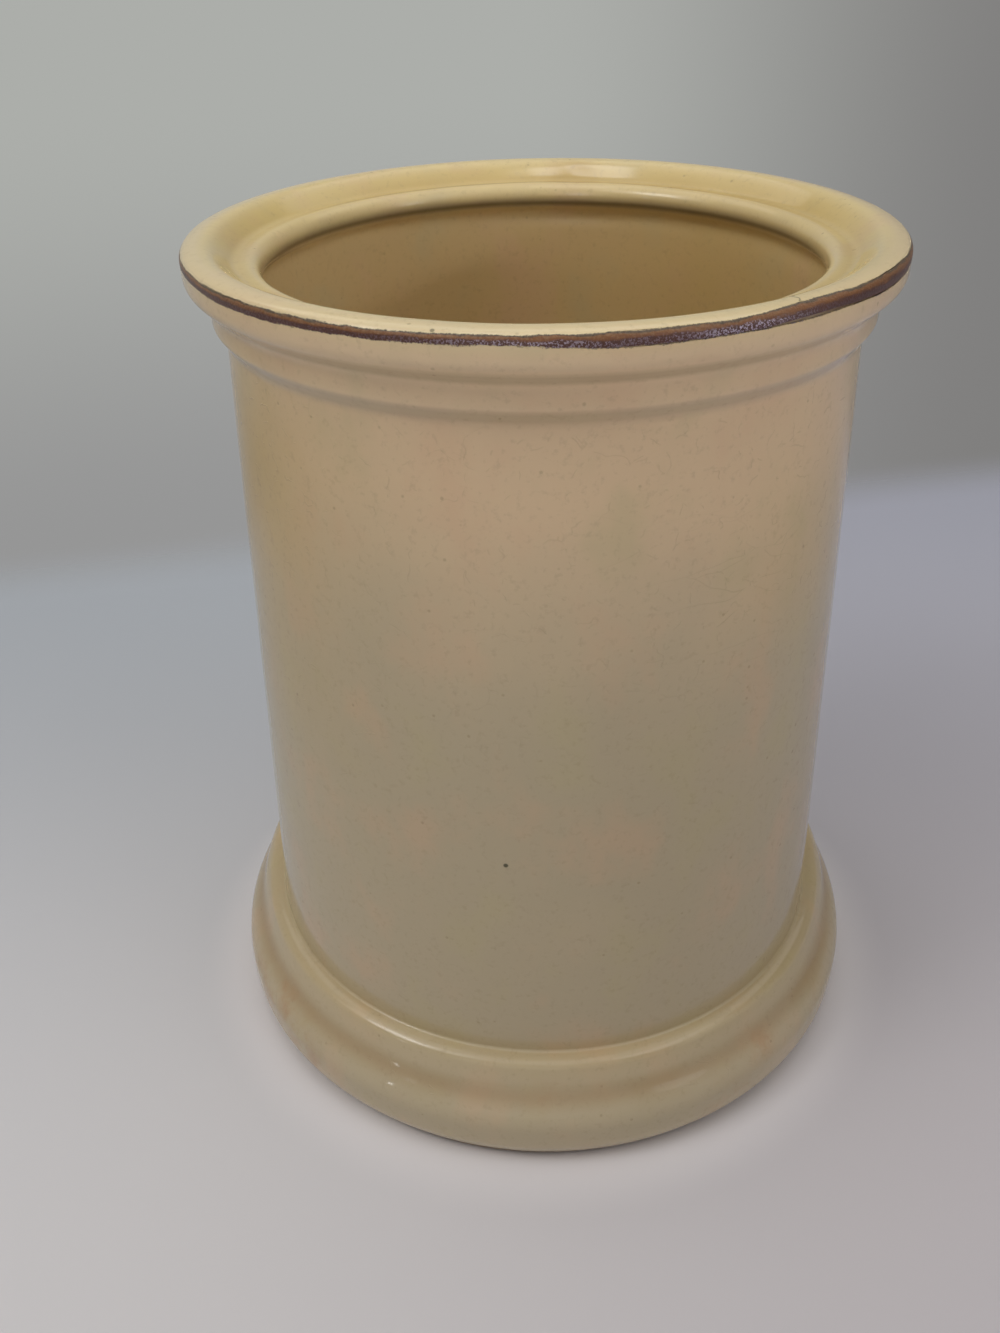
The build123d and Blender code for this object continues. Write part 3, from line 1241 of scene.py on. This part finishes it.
@dataclass(frozen=True)
class Coat:
    """A layer of glaze: a closed skin of the glaze's thickness over a stretch of the pot.

    Lengths are in millimetres. A reach is where a tone begins before the crest and over what length,
    and where it ends past the lip's upright face and over what length.
    """

    pot: Pot
    finish: GlazeFinish
    step: float = 1.5
    inner_step: float = 1.8
    band_step: float = 0.12
    turn: float = 6.5
    back_step: float = 6.0
    back_turn: float = 30.0
    edge_round: float = 0.9
    # Heights over which the wall turns lighter and peach: partly a real tint, partly painted light on the
    # upper wall.
    warm_base: float = 62.0
    warm_rise: float = 86.0
    warm_power: float = 2.2
    warm_inside: float = 0.25
    inside_start: float = 16.0
    inside_ease: float = 5.0
    rim_reach: Reach = (26.0, 6.0, 2.0, 4.0)
    lip_reach: Reach = (3.0, 2.5, 1.0, 1.0)
    lip_wear: float = 0.6
    edge_wear: float = 0.35
    edge_wear_start: float = 0.2
    bend_spread: float = 1.2
    # Painted shade in the grooves under the rim: its strength, lead, start, gain and depth below the top.
    groove_shade_strength: float = 0.58
    shade_lead: float = 2.2
    shade_start: float = 0.1
    shade_gain: float = 1.3
    shade_drop: float = 20.0
    gallery_gold: float = 0.8
    gallery_spread: float = 4.0
    foot_gold: float = 0.3
    foot_spread: float = 5.5
    pit_gold: float = 0.8
    pit_spread: float = 4.5
    # Painted shade in the foot's cove: its strength and spread.
    cove_shade_strength: float = 0.55
    cove_spread: float = 2.6
    throat_line: float = 0.74
    throat_spread: float = 1.15
    craze_least: float = 0.35
    craze_inside: float = 0.3
    craze_base: float = 70.0
    craze_rise: float = 80.0
    craze_drop: float = 15.0
    craze_ease: float = 4.0
    lustre_least: float = 0.08
    gilt: tuple[Blot, ...] = (
        Blot(211, 60.5, 142.0, 26.0, 0.75), Blot(216, 61.5, 100.0, 22.0, 0.25),
        Blot(322, 60.5, 128.0, 18.0, 0.3), Blot(42, 54.5, 150.0, 24.0, 0.6),
        Blot(60, 60.5, 130.0, 26.0, 0.4), Blot(130, 61.0, 110.0, 24.0, 0.3),
    )
    arcs: tuple[Blot, ...] = (
        Blot(304, 61.5, 124.0, 16.0, 1.0), Blot(284, 61.5, 140.0, 9.0, 0.6),
        Blot(30, 61.5, 110.0, 22.0, 0.8), Blot(160, 61.5, 125.0, 20.0, 0.8),
    )
    rust: tuple[Blot, ...] = (
        Blot(216, 73.0, 12.0, 7.0, 1.0), Blot(225, 73.9, 8.0, 6.0, 0.8), Blot(206, 73.9, 9.0, 7.0, 0.7),
        Blot(311.5, 72.6, 15.6, 3.2, 0.9), Blot(303, 73.9, 8.0, 7.0, 0.35), Blot(330, 73.5, 8.0, 9.0, 0.5),
        Blot(40, 73.9, 9.0, 10.0, 0.5), Blot(120, 73.9, 8.0, 12.0, 0.5), Blot(270, 71.5, 18.5, 3.5, 0.35),
    )
    specks: tuple[Blot, ...] = (
        Blot(256.2, 65.2, 174.5, 0.45, 0.6), Blot(263.8, 62.3, 72.9, 0.6, 0.9),
        Blot(40, 62.0, 88.0, 0.5, 0.7), Blot(150, 61.0, 120.0, 0.45, 0.7),
    )
    hairline: Blot = Blot(307.8, 62.9, 175.0, 3.4, 1.0)
    # The lustred sparks are strongest at 297 and 268 degrees, where the band's glints fall: a real lustre
    # that also carries painted glint.
    lustre_and_glint: tuple[Dab, ...] = (Dab(297, 8, 0.9), Dab(268, 13, 0.5), Dab(40, 20, 0.5), Dab(150, 16, 0.6))

    def along(self, run: Array, radius: float, height: float, spread: float) -> Array:
        """A bell curve of the distance along the section from a place on it."""
        return bell(run - self.pot.path.nearest(radius, height), spread)

    def over_rim(self, run: Array, reach: Reach) -> Array:
        """One between two places near the crest and the lip's upright face, with a slope at each.

        Args:
            run: Runs in millimetres.
            reach: Lengths before the crest, of the rise, past the face and of the fall.

        Returns:
            Shares from 0 to 1.
        """
        before, rise, past, fall = reach
        return ramp(run, self.pot.crest_run - before, rise) * ramp(run, self.pot.lip_run + past, -fall)

    def stains(self, blots: Sequence[Blot], angle: Array, run: Array) -> Array:
        """The sum of some blots."""
        return sum(self.pot.spread(blot, angle, run) for blot in blots)

    def tones(self, run: Array) -> dict[str, Array]:
        """The numbers that only the place along the section decides.

        The painted shade of a groove is read a little further on, so that it lies over the groove.

        Args:
            run: Runs in millimetres.

        Returns:
            How peach and lit by painted light, yellow, darkened by painted shade in the grooves, brown with
            painted shade in the cove, worn, shaded at the throat and crazed the glaze is.
        """
        pot, section = self.pot, self.pot.section
        height = np.interp(run, pot.path.run, pot.path.height)
        hollow = pot.path.hollowness(self.bend_spread)
        edge = -np.interp(run, pot.path.run, hollow)
        ahead = np.interp(run + self.shade_lead, pot.path.run, hollow)
        grooves = (height > section.height - self.shade_drop) & (run > pot.lip_run)
        outside = run > pot.crest_run
        # Partly a real peach tint, partly painted light that falls on the upper wall.
        warm_and_lit = ramp(height, self.warm_base, self.warm_rise) ** self.warm_power
        wear = self.edge_wear * ramp(edge, self.edge_wear_start, 1.0)
        cracks = self.craze_least + (1 - self.craze_least) * ramp(height, self.craze_base, self.craze_rise)
        below_bead = ramp(height, section.height - self.craze_drop, -self.craze_ease)
        cove_radius = section.wall_radius + section.cove_width
        mouth_height = section.height - section.mouth_drop
        throat = self.along(run, section.mouth_radius, mouth_height, self.throat_spread)
        return {
            "warm_and_lit": np.where(outside, warm_and_lit, self.warm_inside),
            "inner": ramp(run, pot.crest_run - self.inside_start, -self.inside_ease),
            "rim": self.over_rim(run, self.rim_reach),
            # Painted shade on the downward side of each groove under the rim.
            "groove_shade": self.groove_shade_strength * ramp(ahead, self.shade_start, 1 / self.shade_gain) * grooves,
            # Painted shade in the foot's cove.
            "brown": self.cove_shade_strength * self.along(run, cove_radius, section.cove_height, self.cove_spread),
            "worn": np.maximum(wear, self.lip_wear * self.over_rim(run, self.lip_reach)),
            "shade": self.throat_line * throat,
            "craze": cracks * below_bead * np.where(outside, 1.0, self.craze_inside),
        }

    def marks(self, angle: Array, run: Array) -> dict[str, Array]:
        """The numbers that differ round the pot.

        Args:
            angle: Angles in radians.
            run: Runs in millimetres.

        Returns:
            How far inside the band a point lies and how far across it, how pooled the glaze is, and
            where its arcs, blushes, hairline and lustred sparks with painted glint are.
        """
        pot, section = self.pot, self.pot.section
        top, low = pot.band_top(angle), pot.band_low(angle)
        gallery_radius = section.mouth_radius + section.ledge_width
        gallery_height = section.height - section.gallery_drop
        gallery = self.along(run, gallery_radius, gallery_height, self.gallery_spread)
        roll_radius = section.wall_radius + section.roll_width / 2
        foot = self.along(run, roll_radius, section.roll_height, self.foot_spread)
        pit = replace(pot.pit, size=self.pit_spread, strength=self.pit_gold)
        pooled = self.gallery_gold * gallery + self.foot_gold * foot
        return {
            "brush": np.minimum(run - top, low - run),
            "across": np.clip((run - top) / (low - top), -1.0, 2.0),
            "gold": np.clip(pooled + self.stains((pit, *self.gilt), angle, run), 0.0, 1.0),
            "arcs": np.minimum(self.stains(self.arcs, angle, run), 1.0) * (run > pot.crest_run),
            "rust": np.minimum(self.stains(self.rust, angle, run), 1.0),
            "hair": pot.spread(self.hairline, angle, run),
            "lustre_and_glint": np.minimum(self.lustre_least + sum(dab.profile(angle) for dab in self.lustre_and_glint), 1.0),
        }

    def skin(self, layer: Layer, start: Array, stop: Array, step: float) -> bpy.types.Object:
        """Makes the skin between two lines round the pot and dresses it.

        The front rows follow the finished surface and the back rows run back under it, at the depth of
        the glaze. The inner coat starts at one point in the middle of the floor, and the outer coat's
        last edge is rounded down to the wiped clay.

        Args:
            layer: The layer that the skin is.
            start: Run of its first line at each angle.
            stop: Run of its last line at each angle.
            step: Longest interval between rows in millimetres.

        Returns:
            The new object.
        """
        pot = self.pot
        front = pot.rows(start, stop, step, self.turn)
        back = pot.rows(start, stop, self.back_step, self.back_turn)[::-1]
        runs = np.vstack([front, back])
        depth = np.vstack([np.zeros_like(front), np.full_like(back, pot.glaze)])
        if layer is Layer.OUTER:
            near = 1 - ramp(front, stop, -self.edge_round)
            depth[: len(front)] = (pot.glaze - pot.wiped) * (1 - np.sqrt(1 - near**2))
        angle = np.broadcast_to(pot.angles, runs.shape)
        values = self.tones(runs) | self.marks(angle, runs)
        piece = make_piece(layer, pot.surface(angle, runs, depth), layer is Layer.INNER, values)
        piece.data.materials.append(self.finish.material(layer.slot(), self.speck_places()))
        return piece

    def speck_places(self) -> list[Speck]:
        """The single iron specks, put on the finished surface.

        Returns:
            Place in metres, size in millimetres and strength of each.
        """
        found = []
        for speck in self.specks:
            run = self.pot.path.nearest(speck.radius, speck.height)
            place = self.pot.surface(np.array([math.radians(speck.angle)]), np.array([run]))[0]
            found.append((tuple(float(part) for part in place), speck.size, speck.strength))
        return found

    def build_outer(self) -> bpy.types.Object:
        """The coat from the band down to the wiped foot."""
        angle = self.pot.angles
        return self.skin(Layer.OUTER, self.pot.band_low(angle), self.pot.glaze_end(angle), self.step)

    def build_inner(self) -> bpy.types.Object:
        """The coat from the middle of the floor up to the band."""
        angle = self.pot.angles
        return self.skin(Layer.INNER, 0 * angle, self.pot.band_top(angle), self.inner_step)

    def build_band(self) -> bpy.types.Object:
        """The brown band on the edge of the lip."""
        angle = self.pot.angles
        return self.skin(Layer.BAND, self.pot.band_top(angle), self.pot.band_low(angle), self.band_step)


@dataclass(frozen=True)
class ClayBody:
    """The fired clay under the glaze, bare on the underside and the ring that it stands on.

    Lengths are in millimetres.
    """

    pot: Pot
    finish: ClayFinish
    step: float = 5.0
    turn: float = 10.0
    bare_step: float = 0.7
    bare_lead: float = 1.5
    edge_ease: float = 0.5
    ring_start: float = 0.5
    ring_ease: float = 1.2
    columns: int = 288

    def build(self) -> bpy.types.Object:
        """Makes the clay as one closed form, a glaze's depth under the finished surface.

        Where the glaze ends, the depth eases to that of the wiped clay and then to nothing.

        Returns:
            The new object.
        """
        pot = self.pot
        angle = np.linspace(0.0, 2 * math.pi, self.columns, endpoint=False)[None]
        end = pot.glaze_end(angle)
        middle = float(end.mean()) - self.bare_lead
        hidden = pot.path.stations(0.0, middle, self.step, self.turn)
        bare = pot.path.stations(middle, pot.path.length, self.bare_step, self.turn)
        rows = np.r_[hidden, bare[1:]][:, None]
        runs = np.broadcast_to(rows, (len(rows), self.columns))
        past = ramp(runs, end - self.edge_ease / 2, self.edge_ease)
        stand = ramp(runs, end + self.ring_start, self.ring_ease)
        depth = pot.glaze + (pot.wiped - pot.glaze) * past - pot.wiped * stand
        full = np.broadcast_to(angle, runs.shape)
        piece = make_piece(Layer.CLAY, pot.surface(full, runs, depth), True, {})
        piece.data.materials.append(self.finish.material(Layer.CLAY.slot()))
        return piece


# The studio


@dataclass(frozen=True)
class Lamp:
    """A soft rectangular lamp: its name, where it stands, its sides, its light, what it looks at, its
    tint and the angle in degrees over which it spreads its light."""

    name: str
    place: Place
    sides: Span
    watts: float
    aim: Place = (0.0, 0.0, 0.1)
    tint: Colour = (1.0, 0.985, 0.97)
    spread: float = 180.0

    def light(self) -> bpy.types.Object:
        """Hangs the lamp, turned so that its face looks at its aim.

        Returns:
            The lamp.
        """
        data = bpy.data.lights.new(self.name, "AREA")
        data.shape = "RECTANGLE"
        data.size, data.size_y = self.sides
        data.energy = self.watts
        data.spread = math.radians(self.spread)
        data.color = self.tint
        lamp = bpy.data.objects.new(self.name, data)
        lamp.location = self.place
        lamp.rotation_euler = (Vector(self.aim) - Vector(self.place)).to_track_quat("-Z", "Y").to_euler()
        bpy.context.scene.collection.objects.link(lamp)
        return lamp


@dataclass(frozen=True)
class Studio:
    """A pale table, soft lamps and the camera where the photograph was taken from.

    The camera's place is in millimetres, and the places of cloth and lamps are in metres.
    """

    camera_back: float = 233.25
    camera_height: float = 226.81
    pitch: float = 32.597
    yaw: float = -2.341
    roll: float = -1.214
    focal_pixels: float = 1216.2
    sensor: float = 36.0
    near_clip: float = 0.01
    sheet_half: float = 1.3
    sheet_fade: Span = (0.75, 1.15)
    far_edge: Span = (0.212, 0.262)
    far_slant: float = 0.2335
    cloth: Colour = paint(228, 226, 228)
    # Painted shade: the cloth darker towards the back and the right, where less light falls and the pot's
    # shadow lies.
    cloth_far_shaded: Colour = paint(192, 198, 205)
    cloth_right_shaded: Colour = paint(211, 206, 210)
    cloth_far_right_shaded: Colour = paint(190, 192, 205)
    # Painted light: a paler ring of cloth close to the foot that lightens the pot's contact shadow.
    cloth_close_lit: Colour = paint(246, 242, 244)
    cloth_reach: Span = (-0.13, 0.24)
    side_reach: Span = (-0.12, 0.12)
    close_light_reach: Span = (0.073, 0.088)
    close_light_ends: Span = (0.6, 0.0)
    cloth_roughness: float = 0.9
    cloth_gloss: float = 0.1
    backdrop: Colour = paint(172, 174, 170)
    # Painted shade: the backdrop darker to the right.
    backdrop_shaded_side: Colour = paint(128, 127, 126)
    backdrop_low: Colour = paint(150, 150, 150)
    backdrop_dip: Span = (-0.12, -0.42)
    backdrop_turn: Span = (-0.02, 0.36)
    sky: Colour = (0.96, 0.98, 1.0)
    sky_strength: float = 0.02
    lamps: tuple[Lamp, ...] = (
        Lamp("ceiling", (-0.1, 0.05, 1.3), (0.12, 0.4), 0.6),
        Lamp("overhead cloth", (0.0, 0.1, 1.0), (1.6, 1.6), 6.9, aim=(0.0, 0.1, 0.0)),
        Lamp("left key", (-0.75, -0.37, 1.02), (0.36, 0.36), 1.7),
        Lamp("left soft box", (-0.75, -0.37, 1.03), (0.8, 0.8), 2.2),
        Lamp("right soft box", (0.8, -0.5, 1.0), (0.8, 0.8), 1.5),
        Lamp("right fill", (1.0, -0.4, 0.35), (0.9, 0.7), 0.6, tint=(0.95, 0.965, 1.0)),
        Lamp("front soft box", (0.0, -1.1, 0.5), (1.2, 0.8), 0.95),
        Lamp("low front", (0.03, -0.9, 0.17), (0.22, 0.05), 0.0024, OVER_FRONT, (1.0, 0.96, 0.97), 10.0),
        Lamp("right window", (0.9, -0.53, 0.4), (0.32, 0.06), 0.02, OVER_MOUTH, (0.94, 0.95, 1.0), 18.0),
        Lamp("front window", (-0.27, -0.93, 0.36), (0.2, 0.06), 0.004, OVER_MOUTH, (0.98, 0.96, 1.0), 14.0),
        Lamp("left window", (-0.78, -0.72, 0.42), (0.026, 0.5), 0.002, OVER_MOUTH, (1.0, 0.99, 0.97), 14.0),
    )

    def build_floor(self) -> bpy.types.Object:
        """Makes the table: a sheet of pale cloth that fades out far off, with painted light close to the
        foot and painted shade towards the back and the right.

        Returns:
            The sheet.
        """
        half = self.sheet_half
        mesh = bpy.data.meshes.new("floor")
        corners = [(-half, -half, 0.0), (half, -half, 0.0), (half, half, 0.0), (-half, half, 0.0)]
        mesh.from_pydata(corners, [], [(0, 1, 2, 3)])
        sheet = bpy.data.objects.new("floor", mesh)
        bpy.context.scene.collection.objects.link(sheet)
        bench = Bench("table cloth")
        east, north = bench.split(bench.place())[:2]
        away = bench.node("VectorMath", {0: bench.place()}, operation="LENGTH").outputs["Value"]
        behind = bench.maths("MULTIPLY_ADD", east, -self.far_slant, north)
        reach = bench.fade(behind, self.cloth_reach)
        # Painted shade towards the back and the right.
        bench.colour = bench.mix(reach, self.cloth, self.cloth_far_shaded)
        right = bench.mix(reach, self.cloth_right_shaded, self.cloth_far_right_shaded)
        bench.lay(bench.fade(east, self.side_reach), right)
        # Painted light close to the foot.
        bench.lay(bench.fade(away, self.close_light_reach, self.close_light_ends), self.cloth_close_lit)
        near, inside = bench.fade(behind, self.far_edge, FALLING), bench.fade(away, self.sheet_fade, FALLING)
        look = {"Base Color": bench.colour, "Alpha": bench.product(near, inside)}
        look |= {"Roughness": self.cloth_roughness, "Specular IOR Level": self.cloth_gloss}
        bench.feed(bench.shader, look)
        mesh.materials.append(bench.owner)
        return sheet

    def build_sky(self) -> None:
        """Even light from all round, and the grey backdrop that the camera and the gloss see, with painted
        shade darkening it to the right.
        """
        bench = SkyBench("studio")
        east, _, above = bench.split(bench.node("TexCoord").outputs["Generated"])
        low = bench.fade(above, self.backdrop_dip)
        bench.colour = bench.mix(low, self.backdrop, self.backdrop_low)
        # Painted shade to the right of the backdrop.
        bench.lay(bench.fade(east, self.backdrop_turn), self.backdrop_shaded_side)
        ray = bench.node("LightPath").outputs
        seen = bench.maths("MAXIMUM", ray["Is Camera Ray"], ray["Is Glossy Ray"])
        seen = bench.maths("MAXIMUM", seen, ray["Is Transmission Ray"])
        even = tuple(self.sky_strength * part for part in self.sky)
        bench.feed(bench.shader, {"Color": bench.mix(seen, even, bench.colour)})
        bpy.context.scene.world = bench.owner

    def build_camera(self) -> bpy.types.Object:
        """The camera, from its three turns.

        Its forward direction is level north turned by yaw and dipped by pitch, and roll turns the
        picture about that direction.

        Returns:
            The camera.
        """
        pitch, yaw, roll = (math.radians(turn) for turn in (self.pitch, self.yaw, self.roll))
        level = np.array([math.sin(yaw), math.cos(yaw), 0.0])
        forward = math.cos(pitch) * level + np.array([0.0, 0.0, -math.sin(pitch)])
        side = np.array([math.cos(yaw), -math.sin(yaw), 0.0])
        above = np.cross(side, forward)
        right = math.cos(roll) * side + math.sin(roll) * above
        up = -math.sin(roll) * side + math.cos(roll) * above
        data = bpy.data.cameras.new("camera")
        data.sensor_width = self.sensor
        data.lens = self.focal_pixels * self.sensor / max(PHOTO_PIXELS)
        data.clip_start = self.near_clip
        camera = bpy.data.objects.new("camera", data)
        turn = Matrix(np.stack([right, up, -forward], 1).tolist()).to_4x4()
        spot = (0.0, -self.camera_back * MM, self.camera_height * MM)
        camera.matrix_world = Matrix.Translation(spot) @ turn
        bpy.context.scene.collection.objects.link(camera)
        bpy.context.scene.camera = camera
        return camera

    def build(self) -> None:
        """Sets up the floor, the sky, the lamps and the camera."""
        self.build_floor()
        self.build_sky()
        for lamp in self.lamps:
            lamp.light()
        self.build_camera()
        bpy.context.scene.view_settings.view_transform = "Standard"


def main() -> None:
    """Builds the crock layer by layer, then the studio."""
    logging.basicConfig(level=logging.INFO, format="%(name)s: %(message)s")
    section = Section.from_frame()
    pot = Pot(section, SectionPath(section), SectionPath(section.wiped()))
    lip, foot = 2 * section.lip_radius, 2 * section.foot_radius
    log.info("section: %.1f mm tall, %.1f mm lip, %.1f mm foot", section.height, lip, foot)
    coat = Coat(pot, GlazeFinish())
    pieces = [
        ClayBody(pot, ClayFinish()).build(),
        coat.build_outer(),
        coat.build_inner(),
        coat.build_band(),
    ]
    for piece in pieces:
        log.info("%s: %d vertices, %d faces", piece.name, len(piece.data.vertices), len(piece.data.polygons))
    Studio().build()


if __name__ == "__main__":
    main()
